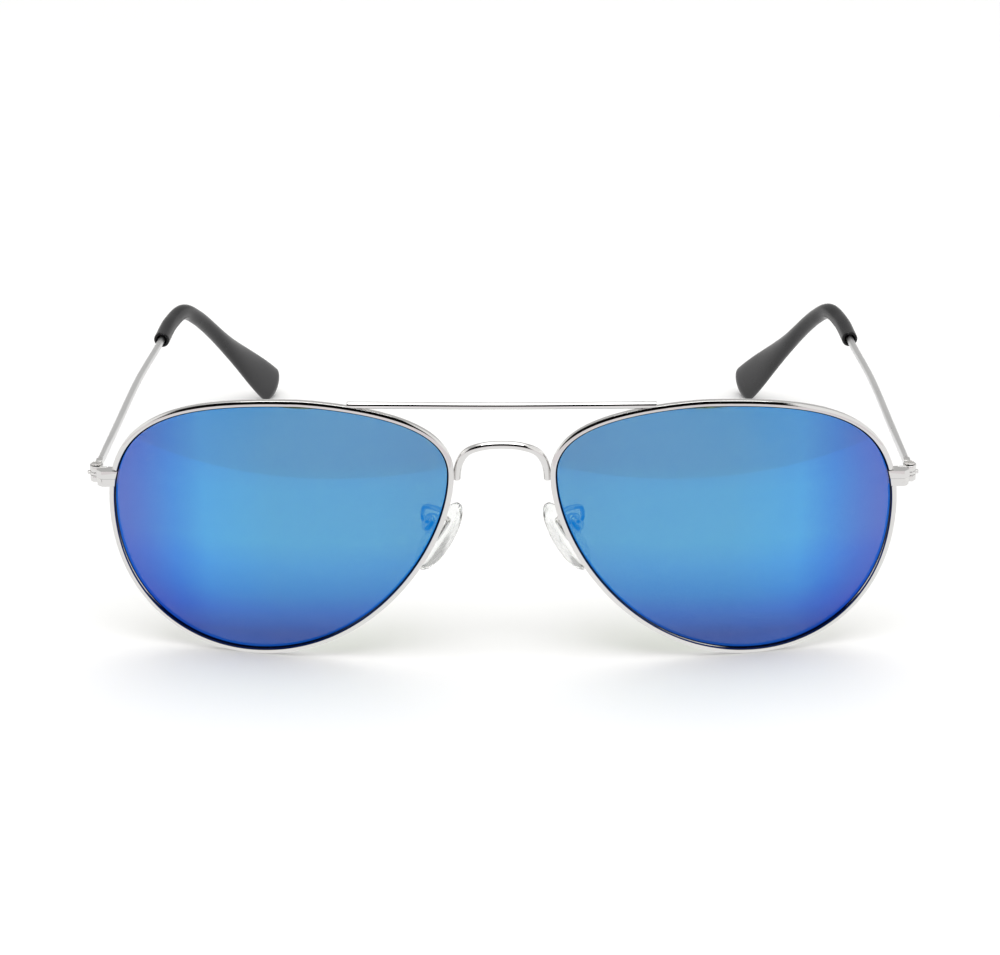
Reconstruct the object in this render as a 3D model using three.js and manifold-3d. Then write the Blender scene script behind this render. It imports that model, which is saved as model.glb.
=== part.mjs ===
// Aviator sunglasses with open temples, standing on the rims and the temple tips.
// Millimetres, +Z up, the wearer looks towards -Y, and the wearer's left is +X.
// Each side is built for the wearer's left and mirrored for the right.
import * as THREE from "three";
import { mergeVertices } from "three/addons/utils/BufferGeometryUtils.js";
import Module from "manifold-3d";

const wasm = await Module();
wasm.setup();

const radians = THREE.MathUtils.degToRad;
const point = (x, y, z) => new THREE.Vector3(x, y, z);

// ---- Driving dimensions ----

// The whole frame
const DEPTH_SHIFT = -61.3; // moves the lens plane forward, so that the origin is under the middle
const WIRE_SIDES = 10;

// Lenses and rims
const LENS_CENTRE = point(38.8, 0, 24.46);
const LENS_RADIUS = 88; // base 6 curve
const LENS_TILT = radians(5); // the bottom of each lens sits further back
const FACE_FORM = radians(6); // the temporal side of each lens sits further back
const LENS_THICKNESS = 1.6;
const STATIONS = 60; // steps round the lens opening
const RIM_WIDTH = 1; // from the opening to the outside, across the wire
const RIM_FRONT = 0.5; // how far the rim stands in front of the lens face
const RIM_BACK = 1.05;
const RIM_CHAMFER = 0.3;
const GROOVE_DEPTH = 0.45;
const GROOVE_MIDDLE = -0.42;
const BEVEL_HEIGHT = 0.3; // how far the lens bevel reaches into the groove
const LENS_INSET = 0.12; // between the lens face and the opening
const BEVEL_HALF = 0.36;
const LENS_CLEARANCE = 0.16; // round the lens edge, in the closing block
const WINDOW_FRONT = 2; // how far in front of the lens face that clearance reaches

// Hinge and closing block at the temporal side
const HINGE = point(69.9, 9.6, 33.25);
const BLOCK_HEIGHT = 2.85;
const BLOCK_BACK = 8.34; // the face that the hinge leaf is brazed to
const SPLIT_GAP = 0.14; // between the two halves of the closing block
const LEAF = { inner: 67.95, gap: 0.08, thickness: 0.37 };
const WEB = { inner: 0.75, outer: 0.6, gap: 0.1 }; // joins the leaf to its barrel
const KNUCKLE_RADIUS = 1.15;
const MIDDLE_KNUCKLE = 0.56; // height of the temple's single knuckle
const HINGE_GAP = 0.07;
const NECK = { inner: 0.7, outer: 0.35, back: 11.5 }; // joins the tongue to its shoe
const SHOE = { inner: 0.8, outer: 0.35, front: 11, back: 12.4, rise: 0.5 };
const STOP = { reach: 0.45, front: 0.5, back: 0.3 };

// Screws
const BORE_RADIUS = 0.5;
const SCREW_RADIUS = 0.4;
const SCREW_HEAD = { radius: 0.85, height: 0.24 };
const SCREW_HEAD_GAP = 0.05; // under the head of the hinge screw
const SLOT_WIDTH = 0.24;
const CLOSING_SCREW = { x: 68.6, y: 7.45, length: 1.75, seat: 0.32 };
const CLOSING_HEAD = { radius: 0.62, height: 0.3 };
const CLOSING_RECESS = { radius: 0.72, depth: 0.4 };
const CLOSING_SKIN = 0.5; // metal left above the closing screw's blind bore
const THROUGH = 1; // how far a drilled hole runs past the faces it opens on

// Bridge and brow bar
const BRIDGE_RADIUS = 0.68;
const BROW_RADIUS = 0.6;
const SOLDER_GAP = 0.1;

// Temples
const TEMPLE_THICKNESS = 1.05;
const TEMPLE_HEIGHT = 1.5; // at the hinge, where the wire is flattened
const CORE_RADIUS = 0.66; // the round wire further back
const TIP_MOUTH_RADIUS = 1.5;
const TIP_BORE_RADIUS = 1.05; // at the mouth
const CORE_CLEARANCE = 0.3; // round the wire, further in
const PADDLE_HALF_WIDTH = 3.7;
const PADDLE_HALF_THICKNESS = 1.35;
const PADDLE_TWIST = radians(-20);
// Places along the temple, as shares of its length
const FLATTENED = [0.02, 0.14];
const TIP_START = 0.524; // where the black tip begins
const MOUTH = [TIP_START + 0.02, TIP_START + 0.05]; // where its bore narrows to the wire
const SPREAD = [0.74, 0.99]; // where it widens into the paddle
const WIRE_END = 0.93;
const BORE_END = 0.95;
const ROUNDING = 0.98; // where the paddle's rounded end begins

// Nose pads
const PAD_CENTRE = point(11.1, 9.0, 21.3);
const PAD_LENGTH = 13.4;
const PAD_WIDTH = 7;
const PAD_THICKNESS = 2.8;
const PAD_LEAN = radians(41); // the lower end is further from the nose
const PAD_SPLAY = radians(28); // the back edge is further from the nose
const PAD_MOUNT_UP = 1.3; // the pad hangs a little below its screw
const PLATE = { x: -0.35, thickness: 0.55, width: 2.6, height: 4.8 }; // inside the pad
const SHANK = { length: 1, width: 1.1, height: 1.7 };
const POCKET_GAP = 0.12; // round the plate
const MOUTH_GAP = 0.15; // round the shank, where it leaves the pad
const BOX_X = -3; // the pad screw's line, behind the pad
const BOX_RADIUS = 1.85;
const BOX_TAPER = 0.8;
const BOX_DEPTH = 1.7;
const BOX_SET_BACK = 0.15; // the box's middle, behind the screw's line
const BOX_SLOT = { side: 0.12, end: 0.35, floor: 0.75 }; // room round the shank
const PAD_BORE_RADIUS = 0.42;
const PAD_SCREW = { radius: 0.34, length: 3.2, gap: 0.08 };
const PAD_SCREW_HEAD = { radius: 0.6, height: 0.3 };
const ARM_RADIUS = 0.45;
const ARM_GAP = 0.12; // between the guard arm and the box
const ARM_STRAIGHT = 0.7; // the arm's last stretch, square to the box

// ---- Materials ----

function finish(colour, roughness, metalness, extra = {}) {
  return new THREE.MeshStandardMaterial({ color: colour, roughness, metalness, ...extra });
}
const silver = finish(0xd9d9d6, 0.12, 1);
const brushedSilver = finish(0xc3c6c5, 0.32, 1);
const blueMirror = finish(0x4f9fdc, 0.04, 0.6);
const blackPlastic = finish(0x26262a, 0.38, 0);
const clearSilicone = finish(0xeef0ee, 0.15, 0, { transparent: true, opacity: 0.45 });

// ---- Solids: booleans, turned pieces and lofts ----

function toSolid(geometry) {
  const bare = geometry.index ? geometry.toNonIndexed() : geometry.clone();
  const positions = new THREE.BufferGeometry();
  positions.setAttribute("position", bare.getAttribute("position"));
  const merged = mergeVertices(positions, 1e-4);
  const triangles = [];
  for (let i = 0; i < merged.index.count; i += 3) {
    const [a, b, c] = [0, 1, 2].map((k) => merged.index.getX(i + k));
    if (a !== b && b !== c && a !== c) triangles.push(a, b, c);
  }
  const vertProperties = new Float32Array(merged.getAttribute("position").array);
  return new wasm.Manifold(
    new wasm.Mesh({ numProp: 3, vertProperties, triVerts: new Uint32Array(triangles) }),
  );
}

function toGeometry(solid) {
  const mesh = solid.getMesh();
  const geometry = new THREE.BufferGeometry();
  const positions = new THREE.BufferAttribute(new Float32Array(mesh.vertProperties), 3);
  geometry.setAttribute("position", positions);
  geometry.setIndex(new THREE.BufferAttribute(new Uint32Array(mesh.triVerts), 1));
  geometry.computeVertexNormals();
  return geometry;
}

const join = (...geometries) =>
  toGeometry(geometries.map(toSolid).reduce((whole, solid) => whole.add(solid)));

const cut = (geometry, ...tools) =>
  toGeometry(tools.map(toSolid).reduce((rest, tool) => rest.subtract(tool), toSolid(geometry)));

// A box given by its lowest and highest corners.
function box(low, high) {
  const size = high.clone().sub(low);
  const middle = low.clone().add(high).multiplyScalar(0.5);
  return new THREE.BoxGeometry(size.x, size.y, size.z).translate(middle.x, middle.y, middle.z);
}

// An upright cylinder from one height to another.
function upright(radius, x, y, low, high, sides = 16) {
  return new THREE.CylinderGeometry(radius, radius, high - low, sides)
    .rotateX(Math.PI / 2)
    .translate(x, y, (low + high) / 2);
}

// An upright prism over a plan outline of [x, y] corners.
function prism(corners, low, high) {
  const plan = new THREE.Shape(corners.map(([x, y]) => new THREE.Vector2(x, y)));
  return new THREE.ExtrudeGeometry(plan, { depth: high - low, bevelEnabled: false })
    .translate(0, 0, low);
}

function circle(radius, sides = WIRE_SIDES) {
  const corners = [];
  for (let i = 0; i < sides; i++) {
    const turn = ((i + 0.5) / sides) * 2 * Math.PI;
    corners.push(new THREE.Vector2(radius * Math.cos(turn), radius * Math.sin(turn)));
  }
  return new THREE.Shape(corners);
}

// Everything below the table, which leaves a small flat where a piece stands on it.
const underTable = () => box(point(-100, -50, -10), point(100, 200, 0));

// A round wire bent through the given points.
function wire(points, radius, steps) {
  const path = new THREE.CatmullRomCurve3(points, false, "centripetal");
  return new THREE.ExtrudeGeometry(circle(radius), { steps, extrudePath: path });
}

// A unit circle lofted along a path. sizeAt(t) gives the half thickness across the path's
// side direction, the half height along its upward direction, and a twist about the path.
function loft(path, steps, sides, sizeAt, from = 0, to = 1) {
  const blank = new THREE.ExtrudeGeometry(circle(1, sides), {
    steps,
    depth: 1,
    bevelEnabled: false,
  });
  const places = blank.getAttribute("position");
  const across = point(1, 0, 0);
  for (let i = 0; i < places.count; i++) {
    const t = from + (to - from) * places.getZ(i);
    const along = path.getTangentAt(t);
    const [thickness, height, twist] = sizeAt(t);
    const upward = across.clone().cross(along).normalize();
    const side = upward.clone().cross(along).normalize();
    upward.applyAxisAngle(along, twist);
    side.applyAxisAngle(along, twist);
    const place = path
      .getPointAt(t)
      .addScaledVector(side, places.getX(i) * thickness)
      .addScaledVector(upward, places.getY(i) * height);
    places.setXYZ(i, place.x, place.y, place.z);
  }
  return blank;
}

// A screw along +Z with a slotted cheese head on top; z = 0 is under the head.
function slottedScrew(radius, length, head) {
  const profile = [
    [0, -length],
    [radius, -length],
    [radius, 0],
    [head.radius, 0],
    [head.radius, head.height * 0.7],
    [head.radius * 0.75, head.height],
    [0, head.height],
  ].map(([r, z]) => new THREE.Vector2(r, z));
  const turned = new THREE.LatheGeometry(profile, 16).rotateX(Math.PI / 2);
  const slot = new THREE.BoxGeometry(4 * head.radius, SLOT_WIDTH, head.height)
    .translate(0, 0, head.height);
  return cut(turned, slot);
}

// ---- The lens opening ----

// Four extreme points joined by curves: temporal, top, nasal and bottom.
function lensOpening() {
  const outline = new THREE.Shape();
  outline.moveTo(28.6, 2.9);
  outline.bezierCurveTo(28.6, 15.3, 22.2, 24.5, -3.8, 24.5);
  outline.bezierCurveTo(-7.8, 24.5, -29.3, 22.7, -29.3, 11.4);
  outline.bezierCurveTo(-29.3, -1.7, -14.6, -23.9, 6.1, -23.9);
  outline.bezierCurveTo(17.4, -23.9, 28.6, -15.5, 28.6, 2.9);
  return outline;
}

// Evenly spaced places round the opening, each with its outward direction.
function openingStations() {
  const places = lensOpening().getSpacedPoints(STATIONS).slice(0, STATIONS);
  return places.map((place, i) => {
    const before = places[(i + STATIONS - 1) % STATIONS];
    const after = places[(i + 1) % STATIONS];
    const along = after.clone().sub(before).normalize();
    return { place, outward: new THREE.Vector2(along.y, -along.x) };
  });
}
const stations = openingStations();

// How far the base curve falls back at a place on the lens.
const sagitta = (u, v) => LENS_RADIUS - Math.sqrt(LENS_RADIUS ** 2 - u * u - v * v);

// A closed profile carried round the opening and bent to the base curve. Each profile corner is
// [share of the way from the lens centre to the opening, distance beyond it, height].
function roundOpening(profile) {
  const outline = profile.map(([share, beyond]) => new THREE.Vector2(share + beyond, 0));
  const blank = new THREE.LatheGeometry(outline, STATIONS);
  const places = blank.getAttribute("position");
  for (let i = 0; i < places.count; i++) {
    const { place, outward } = stations[Math.floor(i / profile.length) % STATIONS];
    const [share, beyond, height] = profile[i % profile.length];
    const u = place.x * share + outward.x * beyond;
    const v = place.y * share + outward.y * beyond;
    places.setXYZ(i, u, v, height - sagitta(u, v));
  }
  return blank;
}

function rimProfile(grow = 0) {
  const outer = RIM_WIDTH + grow;
  const front = RIM_FRONT + grow;
  const back = -RIM_BACK - grow;
  return [
    [1, 0, front],
    [1, 0, GROOVE_MIDDLE + GROOVE_DEPTH],
    [1, GROOVE_DEPTH, GROOVE_MIDDLE],
    [1, 0, GROOVE_MIDDLE - GROOVE_DEPTH],
    [1, 0, back],
    [1, outer - RIM_CHAMFER, back],
    [1, outer, back + RIM_CHAMFER],
    [1, outer, front - RIM_CHAMFER],
    [1, outer - RIM_CHAMFER, front],
    [1, 0, front],
  ];
}

function lensProfile(grow = 0, front = 0) {
  const edge = grow - LENS_INSET;
  const rings = [0, 0.4, 0.75];
  return [
    ...rings.map((share) => [share, 0, -LENS_THICKNESS - grow]),
    [1, edge, -LENS_THICKNESS - grow],
    [1, edge, GROOVE_MIDDLE - BEVEL_HALF],
    [1, BEVEL_HEIGHT + grow, GROOVE_MIDDLE],
    [1, edge, GROOVE_MIDDLE + BEVEL_HALF],
    [1, edge, front],
    ...rings.toReversed().map((share) => [share, 0, front]),
  ];
}

// Stands a piece made in the lens's own frame in its place in the front.
function inLensPlace(geometry) {
  const turn = new THREE.Euler(Math.PI / 2 + LENS_TILT, 0, FACE_FORM, "ZYX");
  const place = new THREE.Matrix4().makeRotationFromEuler(turn).setPosition(LENS_CENTRE);
  return geometry.applyMatrix4(place);
}

// ---- Front pieces ----

const blockLow = HINGE.z - BLOCK_HEIGHT / 2;
const blockHigh = HINGE.z + BLOCK_HEIGHT / 2;

// The eyewire is open where the closing block clamps its two ends.
function rim() {
  const opening = box(
    point(60, 0, blockLow - SPLIT_GAP),
    point(75, 20, blockHigh + SPLIT_GAP),
  );
  return cut(inLensPlace(roundOpening(rimProfile())), opening, underTable());
}

const lens = () => inLensPlace(roundOpening(lensProfile()));

// Clears the lens edge, and the view of the lens in front of it, out of the closing block.
const lensSpace = () => inLensPlace(roundOpening(lensProfile(LENS_CLEARANCE, WINDOW_FRONT)));

function closingBore() {
  const { x, y } = CLOSING_SCREW;
  return upright(BORE_RADIUS, x, y, blockLow - THROUGH, blockHigh - CLOSING_SKIN);
}

// The plan of the closing block: a flat front, an angled outer corner and a stepped back.
const blockPlan = [
  [65.2, 6.5],
  [68.75, 6.5],
  [69.6, 7.3],
  [69.6, BLOCK_BACK],
  [67.8, BLOCK_BACK],
  [67.8, 8.7],
  [65.2, 8.4],
];

// The upper half of the closing block, which carries the hinge.
const endPiece = () =>
  cut(prism(blockPlan, HINGE.z + SPLIT_GAP / 2, blockHigh), lensSpace(), closingBore());

// The lower half, drawn up to the end piece by the closing screw.
function closingBlock() {
  const { x, y } = CLOSING_SCREW;
  const { radius, depth } = CLOSING_RECESS;
  const recess = upright(radius, x, y, blockLow - THROUGH, blockLow + depth);
  const half = prism(blockPlan, blockLow, HINGE.z - SPLIT_GAP / 2);
  return cut(half, lensSpace(), closingBore(), recess);
}

function closingScrew() {
  const { x, y, length, seat } = CLOSING_SCREW;
  return slottedScrew(SCREW_RADIUS, length, CLOSING_HEAD)
    .rotateX(Math.PI)
    .translate(x, y, blockLow + seat);
}

// The front's hinge leaf: a plate on the end piece with an upper and a lower knuckle.
function frontHinge() {
  const { x, y, z } = HINGE;
  const front = BLOCK_BACK + LEAF.gap;
  const plate = box(
    point(LEAF.inner, front, blockLow), point(x, front + LEAF.thickness, blockHigh));
  const barrel = upright(KNUCKLE_RADIUS, x, y, blockLow, blockHigh, 20);
  const web = box(
    point(x - WEB.inner, BLOCK_BACK + WEB.gap, blockLow),
    point(x + WEB.outer, y - WEB.outer, blockHigh),
  );
  const clearance = MIDDLE_KNUCKLE / 2 + HINGE_GAP;
  const slot = box(
    point(x - KNUCKLE_RADIUS - HINGE_GAP, 0, z - clearance),
    point(x + 2 * KNUCKLE_RADIUS, y + 2 * KNUCKLE_RADIUS, z + clearance),
  );
  const bore = upright(BORE_RADIUS, x, y, blockLow - THROUGH, blockHigh + THROUGH);
  return cut(join(plate, barrel, web), slot, bore);
}

const hingeScrew = () =>
  slottedScrew(SCREW_RADIUS, BLOCK_HEIGHT, SCREW_HEAD)
    .translate(HINGE.x, HINGE.y, blockHigh + SCREW_HEAD_GAP);

// A copy on the other side of the middle plane, its faces still outward.
function mirrored(geometry) {
  const copy = geometry.index ? geometry.toNonIndexed() : geometry.clone();
  copy.scale(-1, 1, 1);
  const places = copy.getAttribute("position");
  for (let i = 0; i < places.count; i += 3) {
    const [x, y, z] = [places.getX(i + 1), places.getY(i + 1), places.getZ(i + 1)];
    places.setXYZ(i + 1, places.getX(i + 2), places.getY(i + 2), places.getZ(i + 2));
    places.setXYZ(i + 2, x, y, z);
  }
  return copy;
}

// Fits a piece that crosses the middle between the two rims, with room for the solder.
function betweenRims(geometry) {
  const rimSpace = inLensPlace(roundOpening(rimProfile(SOLDER_GAP)));
  return cut(geometry, rimSpace, mirrored(rimSpace));
}

// The double bridge: a low arch between the rims and a straight bar across their tops.
function bridge() {
  const half = [
    [7.75, 3.0, 34.9],
    [7.6, 2.7, 36.6],
    [7.1, 2.3, 38.6],
    [5.9, 1.9, 40.4],
    [3.4, 1.5, 41.55],
  ];
  const left = half.map(([x, y, z]) => point(x, y, z));
  const right = half.toReversed().map(([x, y, z]) => point(-x, y, z));
  const arch = wire([...left, point(0, 1.4, 41.9), ...right], BRIDGE_RADIUS, 30);
  return betweenRims(arch);
}

function browBar() {
  const end = point(26, 1.1, 49.35);
  const middle = point(0, 0.2, 49.55);
  return betweenRims(wire([end, middle, point(-end.x, end.y, end.z)], BROW_RADIUS, 16));
}

// ---- Nose pads ----

// The pad's frame: X towards the nose, Y along its width towards the back, Z up its length.
function padFrame() {
  const acrossPad = point(Math.sin(PAD_SPLAY), Math.cos(PAD_SPLAY), 0);
  const upPad = point(-Math.sin(PAD_LEAN), 0, Math.cos(PAD_LEAN));
  upPad.addScaledVector(acrossPad, -upPad.dot(acrossPad)).normalize();
  const toNose = acrossPad.clone().cross(upPad).normalize();
  if (toNose.x > 0) toNose.negate();
  return { toNose, upPad };
}

function inPadPlace(geometry) {
  const { toNose, upPad } = padFrame();
  const across = upPad.clone().cross(toNose);
  const place = new THREE.Matrix4().makeBasis(toNose, across, upPad).setPosition(PAD_CENTRE);
  return geometry.applyMatrix4(place);
}

// A rounded drop shape, narrower at the top, with a flatter back than contact face.
function padBody() {
  const body = new THREE.SphereGeometry(0.5, 20, 14).rotateX(Math.PI / 2);
  const places = body.getAttribute("position");
  for (let i = 0; i < places.count; i++) {
    const [x, y, z] = [places.getX(i), places.getY(i), places.getZ(i)];
    const broad = 1 - 0.22 * z;
    const round = Math.sign(x) * Math.abs(2 * x) ** 0.8 * 0.5;
    const depth = x < 0 ? 0.8 : 1.2;
    places.setXYZ(i, round * depth * PAD_THICKNESS, y * broad * PAD_WIDTH, z * PAD_LENGTH);
  }
  return body;
}

// The metal insert moulded into the pad, with the shank that its screw goes through.
function padCore() {
  const plate = new THREE.BoxGeometry(PLATE.thickness, PLATE.width, PLATE.height)
    .translate(PLATE.x, 0, PAD_MOUNT_UP);
  const reach = PLATE.x - BOX_X + SHANK.length / 2;
  const shank = new THREE.BoxGeometry(reach, SHANK.width, SHANK.height)
    .translate(PLATE.x - reach / 2, 0, PAD_MOUNT_UP);
  return cut(join(plate, shank), padBore());
}

const padBore = () =>
  new THREE.CylinderGeometry(PAD_BORE_RADIUS, PAD_BORE_RADIUS, PAD_WIDTH, 14)
    .translate(BOX_X, 0, PAD_MOUNT_UP);

function nosePad() {
  const pocket = new THREE.BoxGeometry(
    PLATE.thickness + 2 * POCKET_GAP,
    PLATE.width + 2 * POCKET_GAP,
    PLATE.height + 2 * POCKET_GAP,
  ).translate(PLATE.x, 0, PAD_MOUNT_UP);
  const mouth = new THREE.BoxGeometry(
    PAD_THICKNESS,
    SHANK.width + 2 * MOUTH_GAP,
    SHANK.height + 2 * MOUTH_GAP,
  ).translate(PLATE.x - PAD_THICKNESS / 2, 0, PAD_MOUNT_UP);
  return cut(padBody(), join(pocket, mouth));
}

// The cup at the end of the pad arm, slotted for the shank.
function padBox() {
  const cup = new THREE.CylinderGeometry(BOX_RADIUS, BOX_RADIUS * BOX_TAPER, BOX_DEPTH, 18)
    .rotateZ(-Math.PI / 2)
    .translate(BOX_X - BOX_SET_BACK, 0, PAD_MOUNT_UP);
  const slot = new THREE.BoxGeometry(
    2 * BOX_DEPTH,
    SHANK.width + 2 * BOX_SLOT.side,
    SHANK.height + 2 * BOX_SLOT.end,
  ).translate(BOX_X - BOX_SLOT.floor + BOX_DEPTH, 0, PAD_MOUNT_UP);
  return cut(cup, slot, padBore());
}

const padScrew = () =>
  slottedScrew(PAD_SCREW.radius, PAD_SCREW.length, PAD_SCREW_HEAD)
    .rotateX(-Math.PI / 2)
    .translate(BOX_X, BOX_RADIUS + PAD_SCREW.gap, PAD_MOUNT_UP);

// The guard arm: from the back of the rim, back and round to the box.
function padArm() {
  const { toNose, upPad } = padFrame();
  const end = PAD_CENTRE.clone()
    .addScaledVector(upPad, PAD_MOUNT_UP)
    .addScaledVector(toNose, BOX_X - BOX_SET_BACK - BOX_DEPTH / 2 - ARM_GAP);
  return wire(
    [
      point(9.9, 2.72, 28),
      point(10.3, 4.9, 27.8),
      point(11.7, 7.2, 27.5),
      point(13.6, 8.8, 26.8),
      end.clone().addScaledVector(toNose, -ARM_STRAIGHT),
      end,
    ],
    ARM_RADIUS,
    18,
  );
}

// ---- Temple pieces ----

// The line of a temple: back from the hinge, over the ear, then down and in behind it.
const templePath = new THREE.CatmullRomCurve3(
  [
    [69.65, 12.5, 33.9],
    [69.0, 30, 32.8],
    [67.95, 55, 31.4],
    [66.3, 76, 30.1],
    [65.1, 86, 30.5],
    [63.4, 92.6, 30.1],
    [61.3, 97.8, 26.8],
    [55.9, 108.8, 15.6],
    [48.6, 122.6, 1.1],
  ].map(([x, y, z]) => point(x, y, z)),
  false,
  "centripetal",
);

const smooth = (t, [from, to]) => THREE.MathUtils.smoothstep(t, from, to);
const mix = THREE.MathUtils.lerp;

// The metal temple: flattened at the hinge, round further back, with its end inside the tip.
function temple() {
  const sizeAt = (t) => {
    const round = smooth(t, FLATTENED);
    const half = mix(TEMPLE_THICKNESS / 2, CORE_RADIUS, round);
    return [half, mix(TEMPLE_HEIGHT / 2, CORE_RADIUS, round), 0];
  };
  return loft(templePath, 30, 8, sizeAt, 0, WIRE_END);
}

function templeTip() {
  const outside = (t) => {
    const spread = smooth(t, SPREAD);
    const past = Math.max(0, t - ROUNDING) / (1 - ROUNDING);
    const blunt = Math.sqrt(1 - 0.96 * past ** 2);
    const width = mix(TIP_MOUTH_RADIUS, PADDLE_HALF_WIDTH, spread) * blunt;
    const thick = mix(TIP_MOUTH_RADIUS, PADDLE_HALF_THICKNESS, spread) * blunt;
    return [thick, width, PADDLE_TWIST * spread];
  };
  const bore = (t) => {
    const wide = 1 - smooth(t, MOUTH);
    const half = mix(CORE_RADIUS + CORE_CLEARANCE, TIP_BORE_RADIUS, wide);
    return [half, half, 0];
  };
  const shell = loft(templePath, 30, 14, outside, TIP_START, 1);
  const hole = loft(templePath, 18, 8, bore, TIP_START - 0.01, BORE_END);
  return cut(shell, hole, underTable());
}

// The temple's hinge: a tongue between the front's knuckles, with the corner that stops it when
// open, and the shoe that the temple is brazed to.
function templeHinge() {
  const { x, y, z } = HINGE;
  const low = z - MIDDLE_KNUCKLE / 2;
  const high = z + MIDDLE_KNUCKLE / 2;
  const tongue = upright(KNUCKLE_RADIUS, x, y, low, high, 20);
  const neck = box(point(x - NECK.inner, y, low), point(x + NECK.outer, NECK.back, high));
  const shoe = box(
    point(x - SHOE.inner, SHOE.front, blockLow + SHOE.rise),
    point(x + SHOE.outer, SHOE.back, blockHigh),
  );
  const stop = box(
    point(x, y - STOP.front, low),
    point(x + KNUCKLE_RADIUS + STOP.reach, y + STOP.back, high),
  );
  const bore = upright(BORE_RADIUS, x, y, low - THROUGH, high + THROUGH);
  return cut(join(tongue, neck, shoe, stop), bore);
}

// ---- The assembly ----

function piece(name, geometry, material) {
  const mesh = new THREE.Mesh(geometry, material);
  mesh.name = name;
  return mesh;
}

function side(name) {
  const group = new THREE.Group();
  group.add(
    piece(`rim_${name}`, rim(), silver),
    piece(`lens_${name}`, lens(), blueMirror),
    piece(`end_piece_${name}`, endPiece(), silver),
    piece(`closing_block_${name}`, closingBlock(), silver),
    piece(`closing_screw_${name}`, closingScrew(), silver),
    piece(`front_hinge_${name}`, frontHinge(), silver),
    piece(`hinge_screw_${name}`, hingeScrew(), silver),
    piece(`pad_arm_${name}`, padArm(), silver),
    piece(`pad_box_${name}`, inPadPlace(padBox()), silver),
    piece(`pad_screw_${name}`, inPadPlace(padScrew()), silver),
    piece(`pad_core_${name}`, inPadPlace(padCore()), silver),
    piece(`nose_pad_${name}`, inPadPlace(nosePad()), clearSilicone),
    piece(`temple_arm_${name}`, temple(), brushedSilver),
    piece(`temple_hinge_${name}`, templeHinge(), silver),
    piece(`temple_tip_${name}`, templeTip(), blackPlastic),
  );
  return group;
}

const left = side("left");
const right = side("right");
right.scale.x = -1;

const sunglasses = new THREE.Group();
sunglasses.add(
  left,
  right,
  piece("bridge", bridge(), silver),
  piece("brow_bar", browBar(), silver),
);
sunglasses.position.y = DEPTH_SHIFT;

export default sunglasses;
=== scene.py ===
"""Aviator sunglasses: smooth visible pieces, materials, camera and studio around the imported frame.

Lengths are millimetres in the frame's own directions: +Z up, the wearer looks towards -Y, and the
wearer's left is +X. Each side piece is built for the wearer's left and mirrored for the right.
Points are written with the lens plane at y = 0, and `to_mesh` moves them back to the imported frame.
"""

import math

import bmesh
import bpy
import numpy as np
from mathutils import Matrix, Vector


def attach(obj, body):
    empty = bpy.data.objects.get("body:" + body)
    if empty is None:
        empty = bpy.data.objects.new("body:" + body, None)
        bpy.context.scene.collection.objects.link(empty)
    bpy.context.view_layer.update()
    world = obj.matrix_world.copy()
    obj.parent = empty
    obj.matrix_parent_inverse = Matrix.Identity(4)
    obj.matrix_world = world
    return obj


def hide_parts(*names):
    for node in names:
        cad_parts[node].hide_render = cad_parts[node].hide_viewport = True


MM = 0.001
DEPTH_SHIFT = -61.3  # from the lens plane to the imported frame

# Lenses and rims
LENS_CENTRE = np.array([38.8, 0.0, 24.46])
LENS_RADIUS = 88.0
LENS_TILT = math.radians(5)
FACE_FORM = math.radians(6)
LENS_THICKNESS = 1.6
LENS_HALF_WIDTH, LENS_HALF_HEIGHT = 29.0, 24.2
STATIONS = 220  # places round the opening
RIM_WIDTH = 1.0
RIM_FRONT = 0.5  # heights are measured from the lens's front face
RIM_BACK = -1.05
RIM_CROWN = 0.39  # from the opening to the highest line of the wire
GROOVE_MIDDLE = -0.42
GROOVE_HALF = 0.45
LENS_INSET = 0.12  # the lens's edge lies this far inside the opening
BEVEL_HEIGHT = 0.3
BEVEL_HALF = 0.36
LENS_CHAMFER = 0.06

# Hinge and closing block
HINGE = np.array([69.9, 9.6, 33.25])  # the middle of the left hinge's screw
BLOCK_LOW, BLOCK_HIGH = 31.825, 34.675
BLOCK_BACK = 8.34
BLOCK_SEAM, SEAM_LEFT = 0.14, 0.03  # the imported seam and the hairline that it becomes
BLOCK_ROUNDING = 0.11
RIM_INTO_BLOCK = 0.35
KNUCKLE_RADIUS = 1.15
KNUCKLE_BORE = 0.5
MIDDLE_KNUCKLE = 0.56
HINGE_GAP = 0.07
SCREW_RADIUS = 0.4
SLOT_WIDTH = 0.24
SHOE_FRONT, SHOE_BACK, TONGUE_BACK = 11.0, 12.4, 11.5

# Bridge and brow bar
BRIDGE_RADIUS = 0.68
BROW_RADIUS = 0.6

# Temples
TEMPLE_HALF_THICKNESS = 0.525
TEMPLE_HALF_HEIGHT = 0.75
WIRE_RADIUS = 0.66
FLATTENED = (0.02, 0.14)  # the share of the temple over which it turns from flat to round
TIP_START = 0.524  # as a share of the temple
TIP_END_ROUNDING = 0.98
TIP_MOUTH_RADIUS = 1.5
TIP_BORE_RADIUS = 1.05
PADDLE_HALF_WIDTH = 3.7
PADDLE_HALF_THICKNESS = 1.35
PADDLE_TWIST = math.radians(-20)
SPREAD = (0.74, 0.99)  # the share of the temple over which the tip widens into a paddle

# Nose pads
PAD_CENTRE = np.array([11.1, 9.0, 21.3])
PAD_LENGTH, PAD_WIDTH, PAD_THICKNESS = 13.4, 7.0, 2.8
PAD_LEAN = math.radians(41)
PAD_SPLAY = math.radians(28)
PAD_MOUNT_UP = 1.3
PLATE_X = -0.35  # along the pad's own axis, towards the nose
BOX_X = -3.0
BOX_RADIUS, BOX_DEPTH, BOX_SET_BACK = 1.85, 1.7, 0.15
ARM_RADIUS = 0.45

# Degrees between two faces over which an edge stays sharp
SHARP_EDGE = 50.0

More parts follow.
